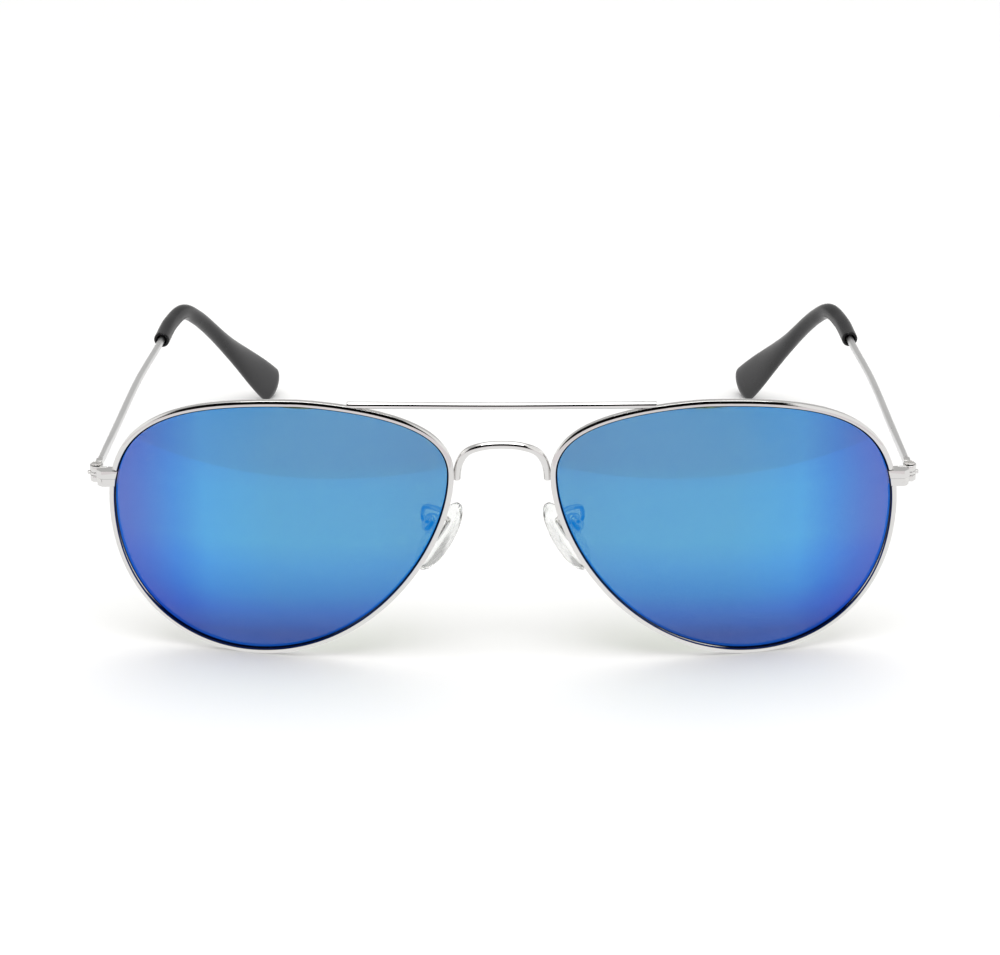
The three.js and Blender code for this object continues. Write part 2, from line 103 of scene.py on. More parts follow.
# Studio. The edges are parts of the direction looked in, along Z, Y or X.
CEILING, ROOM, DARK_ROOM, WINDOW = 1.55, 0.55, 0.003, 1.0
CEILING_EDGE = (0.80, 0.84)
DARK_ROOM_EDGE = (-0.25, -0.5)
WINDOW_EDGE, SIDE_EDGE = (0.5, 0.58), (-0.74, -0.84)
TABLE_NEAR, TABLE_EDGE, TABLE_FAR = 1.2, -0.17, -1.6  # metres

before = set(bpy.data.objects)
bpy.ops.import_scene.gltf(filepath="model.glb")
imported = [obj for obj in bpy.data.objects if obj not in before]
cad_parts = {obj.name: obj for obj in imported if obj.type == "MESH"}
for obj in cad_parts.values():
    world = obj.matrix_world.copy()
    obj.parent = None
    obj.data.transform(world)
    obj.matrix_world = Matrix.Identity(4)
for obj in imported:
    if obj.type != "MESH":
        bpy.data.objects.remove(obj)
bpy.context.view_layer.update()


# ---- Curves ----


def smoothstep(value, limits):
    share = min(1.0, max(0.0, (value - limits[0]) / (limits[1] - limits[0])))
    return share * share * (3 - 2 * share)


def mix(a, b, share):
    return a + (b - a) * share


def unit(vector):
    return vector / np.linalg.norm(vector)


class Path:
    """A centripetal Catmull-Rom curve through points, read by share of its length."""

    def __init__(self, points):
        points = [np.array(p, float) for p in points]
        points = [2 * points[0] - points[1], *points, 2 * points[-1] - points[-2]]
        per_span = 80
        line = []
        for k in range(1, len(points) - 2):
            a, b, c, d = points[k - 1 : k + 3]
            s, t, u = (math.sqrt(np.linalg.norm(q - p)) for p, q in ((a, b), (b, c), (c, d)))
            leave = ((b - a) / s - (c - a) / (s + t) + (c - b) / t) * t
            arrive = ((c - b) / t - (d - b) / (t + u) + (d - c) / u) * t
            for x in np.linspace(0, 1, per_span, endpoint=False):
                line.append(
                    b + leave * x + (3 * (c - b) - 2 * leave - arrive) * x**2
                    + (2 * (b - c) + leave + arrive) * x**3
                )
        line.append(points[-2])
        self.line = np.array(line)
        steps = np.linalg.norm(np.diff(self.line, axis=0), axis=1)
        self.lengths = np.concatenate([[0], np.cumsum(steps)])
        self.length = self.lengths[-1]

    def at(self, share):
        where = share * self.length
        return np.array([np.interp(where, self.lengths, self.line[:, k]) for k in range(3)])

    def along(self, share):
        small = 0.002
        low, high = max(0.0, share - small), min(1.0, share + small)
        return unit(self.at(high) - self.at(low))


def lens_opening():
    """Places round the lens opening, evenly spaced, each with its outward direction."""
    corners = [
        (28.6, 2.9), (28.6, 15.3), (22.2, 24.5), (-3.8, 24.5),
        (-7.8, 24.5), (-29.3, 22.7), (-29.3, 11.4),
        (-29.3, -1.7), (-14.6, -23.9), (6.1, -23.9),
        (17.4, -23.9), (28.6, -15.5), (28.6, 2.9),
    ]
    corners = np.array(corners, float)
    line = []
    for k in range(0, 12, 3):
        a, b, c, d = corners[k : k + 4]
        for t in np.linspace(0, 1, 400, endpoint=False):
            line.append(
                a * (1 - t) ** 3 + 3 * b * t * (1 - t) ** 2 + 3 * c * t * t * (1 - t) + d * t**3
            )
    line = np.array(line + [corners[0]])
    lengths = np.concatenate([[0], np.cumsum(np.linalg.norm(np.diff(line, axis=0), axis=1))])
    wanted = np.arange(STATIONS) / STATIONS * lengths[-1]
    places = np.array([np.interp(wanted, lengths, line[:, k]) for k in range(2)]).T
    along = np.roll(places, -1, 0) - np.roll(places, 1, 0)
    along /= np.linalg.norm(along, axis=1)[:, None]
    return places, np.stack([along[:, 1], -along[:, 0]], 1)


OPENING, OUTWARD = lens_opening()
LENS_TURN = np.array(
    Matrix.Rotation(FACE_FORM, 3, "Z") @ Matrix.Rotation(math.pi / 2 + LENS_TILT, 3, "X")
)


def on_lens(u, v, height):
    """A point at a height over the lens's curved front, as it stands in the front."""
    normal = np.array([u, v, math.sqrt(LENS_RADIUS**2 - u * u - v * v)]) / LENS_RADIUS
    sphere_centre = np.array([0, 0, -LENS_RADIUS])
    return LENS_CENTRE + LENS_TURN @ (sphere_centre + normal * (LENS_RADIUS + height))


def round_opening(share, beyond, height):
    """One ring round the opening."""
    flat = OPENING * share + OUTWARD * beyond
    return [on_lens(u, v, height) for u, v in flat]


# ---- Meshes ----


class Shape:
    """Points, faces and the material number of each face."""

    def __init__(self):
        self.points, self.faces, self.slots = [], [], []

    def ring(self, points):
        start = len(self.points)
        self.points.extend(np.array(p, float) for p in points)
        return list(range(start, len(self.points)))

    def face(self, corners, slot=0):
        self.faces.append(list(corners))
        self.slots.append(slot)

    def bridge(self, first, second, slot=0):
        """Faces between two rings of the same size, outward where the first turns left."""
        for i in range(len(first)):
            j = (i + 1) % len(first)
            self.face([first[i], first[j], second[j], second[i]], slot)

    def fan(self, ring, centre, slot=0):
        for i, corner in enumerate(ring):
            self.face([corner, ring[(i + 1) % len(ring)], centre], slot)

    def add(self, other):
        start = len(self.points)
        self.points.extend(other.points)
        for face, slot in zip(other.faces, other.slots):
            self.face([start + k for k in face], slot)

    def moved(self, turn, offset):
        self.points = [turn @ p + offset for p in self.points]
        return self


def swept(rings):
    """A skin over rings of points that follow each other, with flat ends."""
    shape = Shape()
    rows = [shape.ring(r) for r in rings]
    for first, second in zip(rows, rows[1:]):
        shape.bridge(first, second)
    shape.face(reversed(rows[0]))
    shape.face(rows[-1])
    return shape


def section(centre, side, up, half_side, half_up, count, power=2.0):
    """An ellipse, or with a higher power a rounded rectangle, round a centre."""
    points = []
    for k in range(count):
        turn = 2 * math.pi * k / count
        c, s = math.cos(turn), math.sin(turn)
        x = math.copysign(abs(c) ** (2 / power), c) * half_side
        y = math.copysign(abs(s) ** (2 / power), s) * half_up
        points.append(centre + side * x + up * y)
    return points


def wire(points, radius, steps, count, rounding=0.25):
    """A round wire through points, its ends slightly rounded."""
    path = Path(points)
    small = rounding * radius / path.length
    shares = [0, small * 0.3, small, *np.linspace(0, 1, steps)[1:-1], 1 - small, 1 - small * 0.3, 1]
    sizes = [1 - rounding, 1 - rounding * 0.3, 1, *[1] * (steps - 2), 1, 1 - rounding * 0.3]
    sizes.append(1 - rounding)
    side = unit(np.cross(path.along(0), [0.3, 0.2, 1]))
    rings = []
    for share, size in zip(shares, sizes):
        along = path.along(share)
        side = unit(side - along * side.dot(along))
        up = np.cross(along, side)
        rings.append(section(path.at(share), side, up, radius * size, radius * size, count))
    return swept(rings)


def turned(profile):
    """A turned piece about Z, from its outline of [radius, height] from the bottom up."""
    around = 48
    turns = [2 * math.pi * k / around for k in range(around)]
    rings = []
    for radius, height in profile:
        rings.append([np.array([radius * math.cos(t), radius * math.sin(t), height]) for t in turns])
    return swept(rings)


def slab(outline, low, high):
    """An upright prism over a plan outline that turns left."""
    return swept([[np.array([x, y, z]) for x, y in outline] for z in (low, high)])


def box(low, high):
    """A plain box between two corners."""
    (x0, y0, z0), (x1, y1, z1) = low, high
    return slab([(x0, y0), (x1, y0), (x1, y1), (x0, y1)], z0, z1)


def to_mesh(name, shape, materials, side=1):
    """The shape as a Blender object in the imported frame, mirrored for side -1."""
    scale = np.array([side, 1, 1]) * MM
    shift = np.array([0, DEPTH_SHIFT * MM, 0])
    faces = shape.faces if side > 0 else [list(reversed(f)) for f in shape.faces]
    mesh = bpy.data.meshes.new(name)
    mesh.from_pydata([tuple(p * scale + shift) for p in shape.points], [], faces)
    for material in materials:
        mesh.materials.append(material)
    mesh.polygons.foreach_set("material_index", shape.slots)
    mesh.update()
    thing = bpy.data.objects.new(name, mesh)
    bpy.context.scene.collection.objects.link(thing)
    return thing


def applied(thing):
    """Puts the modifiers' result into the mesh."""
    graph = bpy.context.evaluated_depsgraph_get()
    mesh = bpy.data.meshes.new_from_object(thing.evaluated_get(graph), depsgraph=graph)
    thing.modifiers.clear()
    thing.data = mesh
    return thing


def carved(thing, cutter):
    """Cuts a closed mesh out of a piece."""
    step = thing.modifiers.new("cut", "BOOLEAN")
    step.operation = "DIFFERENCE"
    step.solver = "EXACT"
    step.object = cutter
    applied(thing)
    bpy.data.objects.remove(cutter)


def shaded(thing, sharp=40.0):
    """Smooth shading, with edges over a number of degrees kept sharp."""
    thing.data.shade_smooth()
    thing.data.set_sharp_from_angle(angle=math.radians(sharp))
    return thing


def bevelled(thing, width, segments=3, limit=32.0):
    """Rounds the edges that turn by more than a limit in degrees."""
    step = thing.modifiers.new("bevel", "BEVEL")
    step.width = width * MM
    step.segments = segments
    step.limit_method = "ANGLE"
    step.angle_limit = math.radians(limit)
    applied(thing)
    return shaded(thing, SHARP_EDGE)


def finished(thing, body, node):
    """Hands a piece over: it rides on a body, and the CAD node that it stands for is hidden."""
    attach(thing, body)
    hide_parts(node)


# ---- Materials ----


class Nodes:
    """A material's node tree with its Principled shader."""

    def __init__(self, name):
        self.material = bpy.data.materials.new(name)
        self.material.use_nodes = True
        self.tree = self.material.node_tree
        self.shader = self.tree.nodes["Principled BSDF"]
        self.place = self.new("ShaderNodeTexCoord").outputs["Object"]

    def new(self, kind, **values):
        node = self.tree.nodes.new(kind)
        for key, value in values.items():
            setattr(node, key, value)
        return node

    def join(self, output, socket):
        self.tree.links.new(output, socket)

    def set(self, **values):
        for key, value in values.items():
            self.shader.inputs[key.replace("_", " ")].default_value = value

    def noise(self, scale, stretch=(1, 1, 1), detail=3.0, roughness=0.5):
        """Noise with features about 1/scale metres across."""
        mapping = self.new("ShaderNodeMapping")
        mapping.inputs["Scale"].default_value = stretch
        self.join(self.place, mapping.inputs["Vector"])
        noise = self.new("ShaderNodeTexNoise")
        noise.inputs["Scale"].default_value = scale
        noise.inputs["Detail"].default_value = detail
        noise.inputs["Roughness"].default_value = roughness
        self.join(mapping.outputs["Vector"], noise.inputs["Vector"])
        return noise.outputs["Fac"]

    def ramp(self, factor, stops):
        node = self.new("ShaderNodeValToRGB")
        while len(node.color_ramp.elements) < len(stops):
            node.color_ramp.elements.new(0.5)
        for element, (position, colour) in zip(node.color_ramp.elements, stops):
            element.position = position
            element.color = (*colour, 1)
        self.join(factor, node.inputs["Fac"])
        return node.outputs["Color"]

    def spread(self, factor, low, high):
        """A factor from 0.3 to 0.7 spread over low to high."""
        node = self.new("ShaderNodeMapRange")
        node.inputs["From Min"].default_value = 0.3
        node.inputs["From Max"].default_value = 0.7
        node.inputs["To Min"].default_value = low
        node.inputs["To Max"].default_value = high
        self.join(factor, node.inputs["Value"])
        return node.outputs["Result"]

    def bump(self, height, distance):
        node = self.new("ShaderNodeBump")
        node.inputs["Distance"].default_value = distance * MM
        node.inputs["Strength"].default_value = 1.0
        self.join(height, node.inputs["Height"])
        self.join(node.outputs["Normal"], self.shader.inputs["Normal"])


def grey(value, warmth=0.0):
    return (value * (1 + warmth), value, value * (1 - warmth))


def metal(name, tone, dull, warmth=0.01, streak=(1, 1, 1), grain=0.003):
    """Plated metal: handling marks in its gloss, a fine grain, slightly uneven plating."""
    nodes = Nodes(name)
    nodes.set(Metallic=1.0)
    marks = nodes.noise(260, detail=6, roughness=0.6)
    nodes.join(nodes.spread(marks, dull[0], dull[1]), nodes.shader.inputs["Roughness"])
    plating = nodes.noise(90, detail=2)
    stops = [(0.3, grey(tone * 0.95, warmth)), (0.7, grey(tone, warmth))]
    nodes.join(nodes.ramp(plating, stops), nodes.shader.inputs["Base Color"])
    nodes.bump(nodes.noise(2500, streak, detail=2), grain)
    return nodes.material


def see_through(nodes, clear_outside, clear_inside, tint=None):
    """Lets a share of the light through, one share from outside the glass and one from inside."""
    clear = nodes.new("ShaderNodeBsdfTransparent")
    if tint:
        nodes.join(tint, clear.inputs["Color"])
    side = nodes.new("ShaderNodeNewGeometry").outputs["Backfacing"]
    share = nodes.new("ShaderNodeMapRange")
    share.inputs["To Min"].default_value = clear_outside
    share.inputs["To Max"].default_value = clear_inside
    nodes.join(side, share.inputs["Value"])
    mixed = nodes.new("ShaderNodeMixShader")
    nodes.join(share.outputs["Result"], mixed.inputs["Fac"])
    nodes.join(nodes.shader.outputs["BSDF"], mixed.inputs[1])
    nodes.join(clear.outputs["BSDF"], mixed.inputs[2])
    nodes.join(mixed.outputs["Shader"], nodes.tree.nodes["Material Output"].inputs["Surface"])


def lens_coat():
    """Blue mirror coat: azure in the middle, violet to the outer edge, indigo at the bottom.

    Part of the light passes through it, green in the middle and brown to the outer edge. These
    colours are set by place on the lens. They are partly the coat's own colour and partly painted
    reflection of the studio, with painted shade towards the bottom.
    """
    nodes = Nodes("blue_mirror_coat")
    across = nodes.new("ShaderNodeAttribute", attribute_name="across").outputs["Fac"]
    level = nodes.new("ShaderNodeAttribute", attribute_name="level").outputs["Fac"]

    def blend(side_stops, height_stops):
        tint = nodes.new("ShaderNodeMix", data_type="RGBA", blend_type="MULTIPLY")
        tint.inputs["Factor"].default_value = 1.0
        nodes.join(nodes.ramp(across, side_stops), tint.inputs["A"])
        nodes.join(nodes.ramp(level, height_stops), tint.inputs["B"])
        return tint.outputs["Result"]

    # The mirror's colour by place: partly the coat's own colour, partly painted reflection, darker
    # towards the bottom as painted shade.
    mirrored = blend(
        [
            (0.05, (0.003, 0.24, 0.80)), (0.2, (0.003, 0.27, 0.85)), (0.5, (0.003, 0.285, 0.87)),
            (0.61, (0.003, 0.30, 0.93)), (0.71, (0.003, 0.30, 0.98)), (0.81, (0.003, 0.235, 0.94)),
            (0.9, (0.003, 0.19, 0.83)), (0.96, (0.003, 0.17, 0.76)),
        ],
        [
            (0.087, (1.0, 0.31, 0.54)), (0.19, (1.0, 0.47, 0.79)), (0.293, (1.0, 0.70, 0.92)),
            (0.397, (1.0, 0.86, 1.0)), (0.5, (1.0, 1.0, 1.0)),
        ],
    )
    # The tint of the light let through, by place: partly the coat's own tint, partly painted light.
    passed = blend(
        [
            (0.2, (0.46, 0.71, 0.18)), (0.5, (0.45, 0.71, 0.18)), (0.71, (0.41, 0.69, 0.19)),
            (0.81, (0.34, 0.48, 0.18)), (0.9, (0.41, 0.34, 0.17)), (0.96, (0.46, 0.28, 0.16)),
        ],
        [
            (0.087, (0.74, 0.35, 0.6)), (0.19, (0.66, 0.5, 0.8)), (0.293, (0.68, 0.7, 0.9)),
            (0.397, (0.82, 0.86, 1.0)), (0.5, (1.0, 1.0, 1.0)), (0.7, (1.0, 0.95, 0.9)),
            (0.8, (1.0, 0.76, 0.4)),
        ],
    )
    nodes.join(mirrored, nodes.shader.inputs["Base Color"])
    haze = nodes.noise(70, detail=5, roughness=0.6)
    nodes.join(nodes.spread(haze, 0.012, 0.035), nodes.shader.inputs["Roughness"])
    nodes.set(Metallic=1.0)
    see_through(nodes, 0.25, 0.8, passed)
    return nodes.material


def lens_smoke():
    """The lens's back and rear edge: a faint grey, nearly clear from inside."""
    nodes = Nodes("smoke_tint")
    cloud = nodes.noise(60, detail=3)
    stops = [(0.3, (0.018, 0.018, 0.020)), (0.7, (0.024, 0.023, 0.024))]
    nodes.join(nodes.ramp(cloud, stops), nodes.shader.inputs["Base Color"])
    nodes.join(nodes.spread(nodes.noise(80), 0.03, 0.07), nodes.shader.inputs["Roughness"])
    see_through(nodes, 0.3, 0.97)
    return nodes.material


def painted_shade_band(name, colour, dull):
    """A near-black band of painted shade, put on the rim's inner wall and the lens's bevel."""
    nodes = Nodes(name)
    stops = [(0.3, tuple(0.8 * c for c in colour)), (0.7, colour)]
    nodes.join(nodes.ramp(nodes.noise(300), stops), nodes.shader.inputs["Base Color"])
    nodes.join(nodes.spread(nodes.noise(900), dull * 0.7, dull), nodes.shader.inputs["Roughness"])
    return nodes.material


def tip_plastic():
    """Satin black plastic with a fine moulded grain."""
    nodes = Nodes("black_tip_plastic")
    cloud = nodes.noise(120, detail=4)
    stops = [(0.3, (0.0100, 0.0100, 0.0112)), (0.7, (0.0145, 0.0145, 0.0165))]
    nodes.join(nodes.ramp(cloud, stops), nodes.shader.inputs["Base Color"])
    nodes.join(nodes.spread(nodes.noise(400, detail=4), 0.2, 0.28), nodes.shader.inputs["Roughness"])
    nodes.set(Specular_IOR_Level=0.34)
    nodes.bump(nodes.noise(4200, detail=2), 0.004)
    return nodes.material


def silicone():
    """Clear silicone, faintly cloudy."""
    nodes = Nodes("clear_silicone")
    cloud = nodes.noise(220, detail=3)
    stops = [(0.3, (0.90, 0.91, 0.905)), (0.7, (0.97, 0.975, 0.97))]
    nodes.join(nodes.ramp(cloud, stops), nodes.shader.inputs["Base Color"])
    nodes.join(nodes.spread(nodes.noise(350), 0.05, 0.13), nodes.shader.inputs["Roughness"])
    nodes.bump(nodes.noise(700, detail=2), 0.01)
    nodes.set(Transmission_Weight=0.97, IOR=1.33)
    return nodes.material


def paper(name, value):
    """The floor: pale, with a barely visible mottle."""
    nodes = Nodes(name)
    stops = [(0.3, grey(value * 0.985)), (0.7, grey(value))]
    nodes.join(nodes.ramp(nodes.noise(14, detail=4), stops), nodes.shader.inputs["Base Color"])
    nodes.join(nodes.spread(nodes.noise(60), 0.75, 0.9), nodes.shader.inputs["Roughness"])
    nodes.set(Specular_IOR_Level=0.1)
    return nodes.material


CHROME = metal("polished_chrome", 0.77, (0.012, 0.035))
SATIN = metal("satin_silver", 0.80, (0.26, 0.36), warmth=0.0, streak=(1, 0.06, 1), grain=0.006)
STEEL = metal("turned_steel", 0.80, (0.16, 0.26), warmth=0.02)
COAT = lens_coat()
SMOKE = lens_smoke()
# Painted shade: near-black bands on the rim's inner wall and on the lens's edge, where the lens
# meets the rim.
LENS_EDGE_PAINTED_SHADE = painted_shade_band("lens_edge_painted_shade", (0.002, 0.006, 0.03), 0.2)
RIM_WALL_PAINTED_SHADE = painted_shade_band("rim_inner_wall_painted_shade", (0.003, 0.018, 0.11), 0.15)
TIP = tip_plastic()
SILICONE = silicone()


# ---- Rims and lenses ----


def arc(centre, radius, start, end, count):
    """Points on a circular arc, from one angle in degrees to another."""
    turns = np.radians(np.linspace(start, end, count))
    return [(centre[0] + radius * math.cos(t), centre[1] + radius * math.sin(t)) for t in turns]


def rim_section():
    """The eyewire's cross-section, as [distance beyond the opening, height], from its groove.

    Its front is nearly flat beside the lens, falls away outside, and its side leans inwards.
    """
    lip, broad, bend, rear = 0.09, 0.95, 0.1, 0.34
    ease, lean = math.radians(28), math.radians(70)
    bend_centre = (
        RIM_CROWN + (broad - bend) * math.sin(ease),
        RIM_FRONT - broad + (broad - bend) * math.cos(ease),
    )
    return [
        (0, GROOVE_MIDDLE + GROOVE_HALF),
        *arc((lip, RIM_FRONT - 0.02 - lip), lip, 180, 95, 6),
        *arc((RIM_CROWN, RIM_FRONT - broad), broad, 90, 90 - math.degrees(ease), 6),
        *arc(bend_centre, bend, 84 - math.degrees(ease), 90 - math.degrees(lean), 5),
        (RIM_WIDTH - 0.05, RIM_FRONT - 0.56),
        (RIM_WIDTH, RIM_FRONT - 0.74),
        *arc((RIM_WIDTH - rear, RIM_BACK + rear), rear, 0, -90, 7),
        *arc((lip, RIM_BACK + lip), lip, -90, -180, 4),
        (0, GROOVE_MIDDLE - GROOVE_HALF),
        (GROOVE_HALF, GROOVE_MIDDLE),
    ]


def rim():
    """The eyewire from the top of the closing block round to its bottom.

    The wall between its front and the lens is painted dark blue, as painted shade. The lowest part
    is cut flat, to stand on.
    """
    heights = np.array([on_lens(u, v, GROOVE_MIDDLE)[2] for u, v in OPENING])
    temporal = OPENING[:, 0] > 0
    low, high = BLOCK_LOW + RIM_INTO_BLOCK, BLOCK_HIGH - RIM_INTO_BLOCK
    inside = temporal & (heights > low) & (heights < high)
    first = max(np.nonzero(inside)[0]) + 1
    count = STATIONS - int(inside.sum())
    order = [(first + k) % STATIONS for k in range(count)]
    profile = rim_section()
    # The first faces of each strip, the lip's inner wall, take the painted-shade material.
    painted_shade_faces = 3
    rings = []
    for k in order:
        ring = []
        for beyond, height in profile:
            u, v = OPENING[k] + OUTWARD[k] * beyond
            place = on_lens(u, v, height)
            place[2] = max(place[2], 0.0)
            ring.append(place)
        rings.append(ring)
    shape = swept(rings)
    for strip in range(count - 1):
        for face in range(painted_shade_faces):
            shape.slots[strip * len(profile) + face] = 1
    return shape


def lens():
    """A curved lens with a bevelled edge. Its front face carries the coat, and its edge as far as
    the bevel's tip is painted near-black as painted shade.
    """
    shape = Shape()
    steps, last_share = 26, 0.04
    shares = [1 - (1 - last_share) * (k / steps) ** 1.15 for k in range(steps + 1)]
    edge = -LENS_INSET
    # dark is the slot of the near-black painted shade on the lens's edge.
    coat, smoke, dark = range(3)
    flat_edge = edge - LENS_CHAMFER
    rows = [shape.ring(round_opening(share, flat_edge * share, 0)) for share in shares]
    for outer, inner in zip(rows, rows[1:]):
        shape.bridge(outer, inner, coat)
    shape.fan(rows[-1], shape.ring([on_lens(0, 0, 0)])[0], coat)
    sides = [
        (edge, -LENS_CHAMFER * 0.8, dark),
        (edge, GROOVE_MIDDLE + BEVEL_HALF, dark),
        (BEVEL_HEIGHT, GROOVE_MIDDLE, dark),
        (edge, GROOVE_MIDDLE - BEVEL_HALF, smoke),
        (edge, -LENS_THICKNESS + LENS_CHAMFER * 0.8, smoke),
        (flat_edge, -LENS_THICKNESS, smoke),
    ]
    last = rows[0]
    for beyond, height, slot in sides:
        ring = shape.ring(round_opening(1, beyond, height))
        shape.bridge(ring, last, slot)
        last = ring
    for share in shares[1:]:
        ring = shape.ring(round_opening(share, flat_edge * share, -LENS_THICKNESS))
        shape.bridge(ring, last, smoke)
        last = ring
    shape.fan(list(reversed(last)), shape.ring([on_lens(0, 0, -LENS_THICKNESS)])[0], smoke)
    return shape


def with_lens_places(thing, shape):
    """Stores how far each point lies across the lens, nose to temple, and its level."""
    flat = (np.array(shape.points) - LENS_CENTRE) @ LENS_TURN
    places = (("across", flat[:, 0], LENS_HALF_WIDTH), ("level", flat[:, 1], LENS_HALF_HEIGHT))
    for name, values, reach in places:
        attribute = thing.data.attributes.new(name, "FLOAT", "POINT")
        attribute.data.foreach_set("value", (0.5 + 0.5 * values / reach).astype(np.float32))


# ---- Bridge and brow bar ----


def bridge():
    half = [
        (7.75, 3.0, 34.9), (7.6, 2.7, 36.6), (7.1, 2.3, 38.6), (5.9, 1.9, 40.4), (3.4, 1.5, 41.55),
    ]
    return wire([*half, (0, 1.4, 41.9), *[(-x, y, z) for x, y, z in reversed(half)]],
                BRIDGE_RADIUS, 90, 28)


def brow_bar():
    end = (26.0, 1.1, 49.35)
    return wire([end, (0, 0.2, 49.55), (-end[0], *end[1:])], BROW_RADIUS, 48, 28)


# ---- Hinges ----


def cad_copy(node, name, material):
    """A copy of a CAD node's mesh with its corners joined, for rounding its edges."""
    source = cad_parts[node].data
    corners = [vertex.co[:] for vertex in source.vertices]
    faces = [face.vertices[:] for face in source.polygons]
    mesh = bpy.data.meshes.new(name)
    mesh.from_pydata(corners, [], faces)
    mesh.materials.append(material)
    thing = bpy.data.objects.new(name, mesh)
    bpy.context.scene.collection.objects.link(thing)
    weld = thing.modifiers.new("weld", "WELD")
    weld.merge_threshold = 0.002 * MM
    return applied(thing)


def block_half(name, side, body):
    """Half of the closing block: its seam is drawn to a hairline, its other edges are rounded."""
    thing = cad_copy(f"{name}_{side}", f"{name}_{side}_smooth", CHROME)
    mesh = bmesh.new()
    mesh.from_mesh(thing.data)
    seam = set()
    for vertex in mesh.verts:
        height = vertex.co.z / MM - HINGE[2]
        if abs(height) < BLOCK_SEAM / 2 + 0.02:
            vertex.co.z = (HINGE[2] + math.copysign(SEAM_LEFT / 2, height)) * MM
            seam.add(vertex)
    mesh.normal_update()
    corners = [
        edge for edge in mesh.edges
        if edge.is_manifold and edge.calc_face_angle() > math.radians(30)
        and not seam.issuperset(edge.verts)
    ]
    bmesh.ops.bevel(mesh, geom=corners, offset=BLOCK_ROUNDING * MM, offset_type="OFFSET", segments=3,
                    profile=0.5, affect="EDGES", clamp_overlap=True)
    mesh.to_mesh(thing.data)
    mesh.free()
    shaded(thing, SHARP_EDGE)
    finished(thing, body, f"{name}_{side}")


def barrel(low, high, x, y):
    """A knuckle with its bore, its rims rounded."""
    soft = 0.07
    outer, inner = KNUCKLE_RADIUS, KNUCKLE_BORE
    profile = [
        (inner, low + soft), (inner + soft, low), (outer - soft, low),
        *arc((outer - soft, low + soft), soft, -90, 0, 4)[1:],
        *arc((outer - soft, high - soft), soft, 0, 90, 4),
        (inner + soft, high), (inner, high - soft),
    ]
    shape = turned(profile)
    rows = len(profile)
    shape.faces = shape.faces[:-2]
    shape.slots = shape.slots[:-2]
    count = len(shape.points) // rows
    shape.bridge(list(range((rows - 1) * count, rows * count)), list(range(count)))
    return shape.moved(np.eye(3), np.array([x, y, 0]))


def front_hinge(side, name):
    """The front's leaf, its web and its upper and lower knuckles."""
    x, y, z = HINGE
    clearance = MIDDLE_KNUCKLE / 2 + HINGE_GAP
    shape = Shape()
    for low, high in ((BLOCK_LOW, z - clearance), (z + clearance, BLOCK_HIGH)):
        shape.add(barrel(low, high, x, y))
    leaf = to_mesh("leaf", box(
        (67.95, BLOCK_BACK + 0.02, BLOCK_LOW), (x, BLOCK_BACK + 0.45, BLOCK_HIGH)), [CHROME], side)
    webs = []
    for low, high in ((BLOCK_LOW, z - clearance), (z + clearance, BLOCK_HIGH)):
        webs.append(to_mesh("web", box(
            (x - 0.75, BLOCK_BACK + 0.1, low), (x + 0.6, y - 0.62, high)), [CHROME], side))
    thing = to_mesh(f"front_hinge_{name}_smooth", shape, [CHROME], side)
    shaded(thing, SHARP_EDGE)
    for part in (leaf, *webs):
        bevelled(part, 0.09)
    merge(thing, leaf, *webs)
    finished(thing, "front", f"front_hinge_{name}")


def merge(thing, *others):
    """Joins other objects' meshes into one piece."""
    with bpy.context.temp_override(
        active_object=thing, selected_editable_objects=[thing, *others]
    ):
        bpy.ops.object.join()


def temple_hinge(side, name):
    """The temple's tongue, its stop and the shoe that the temple is brazed to."""
    x, y, z = HINGE
    low, high = z - MIDDLE_KNUCKLE / 2, z + MIDDLE_KNUCKLE / 2
    thing = to_mesh(f"temple_hinge_{name}_smooth", barrel(low, high, x, y), [CHROME], side)
    shaded(thing, SHARP_EDGE)
    neck = [
        (x - 0.7, y + 0.75), (x + 0.35, y + 0.75), (x + 0.35, TONGUE_BACK), (x - 0.7, TONGUE_BACK),
    ]
    stop = [
        (x + 0.75, y - 0.5), (x + 1.45, y - 0.42), (x + 1.6, y - 0.25), (x + 1.6, y + 0.12),
        (x + 1.45, y + 0.3), (x + 0.75, y + 0.3),
    ]
    parts = [
        to_mesh("neck", slab(neck, low, high), [CHROME], side),
        to_mesh("stop", slab(stop, low, high), [CHROME], side),
        to_mesh("shoe", box(
            (x - 0.8, SHOE_FRONT, BLOCK_LOW + 0.5), (x + 0.35, SHOE_BACK, BLOCK_HIGH)),
            [CHROME], side),
    ]
    for part in parts:
        bevelled(part, 0.1)
    merge(thing, *parts)
    finished(thing, f"temple_{name}", f"temple_hinge_{name}")


def screw(name, radius, length, head, rise, place, turn, side, slot_turn=0.0):
    """A slotted cheese-head screw; place is under its head and turn points its axis."""
    soft = rise * 0.3
    profile = [
        (radius * 0.7, -length), (radius, -length + radius * 0.3), (radius, -0.02),
        (head - soft * 0.4, 0), (head, soft * 0.4),
        *arc((head - soft, rise - soft), soft, 0, 90, 5),
    ]
    shape = turned(profile).moved(turn, place)
    thing = to_mesh(name, shape, [STEEL], side)
    c, s = math.cos(slot_turn), math.sin(slot_turn)
    spin = np.array([[c, -s, 0], [s, c, 0], [0, 0, 1]])
    groove = box(
        (-2 * head, -SLOT_WIDTH / 2, rise * 0.45), (2 * head, SLOT_WIDTH / 2, rise * 2)
    ).moved(turn @ spin, place)
    carved(thing, to_mesh("groove", groove, [STEEL], side))
    return bevelled(thing, 0.02, 2, 40)


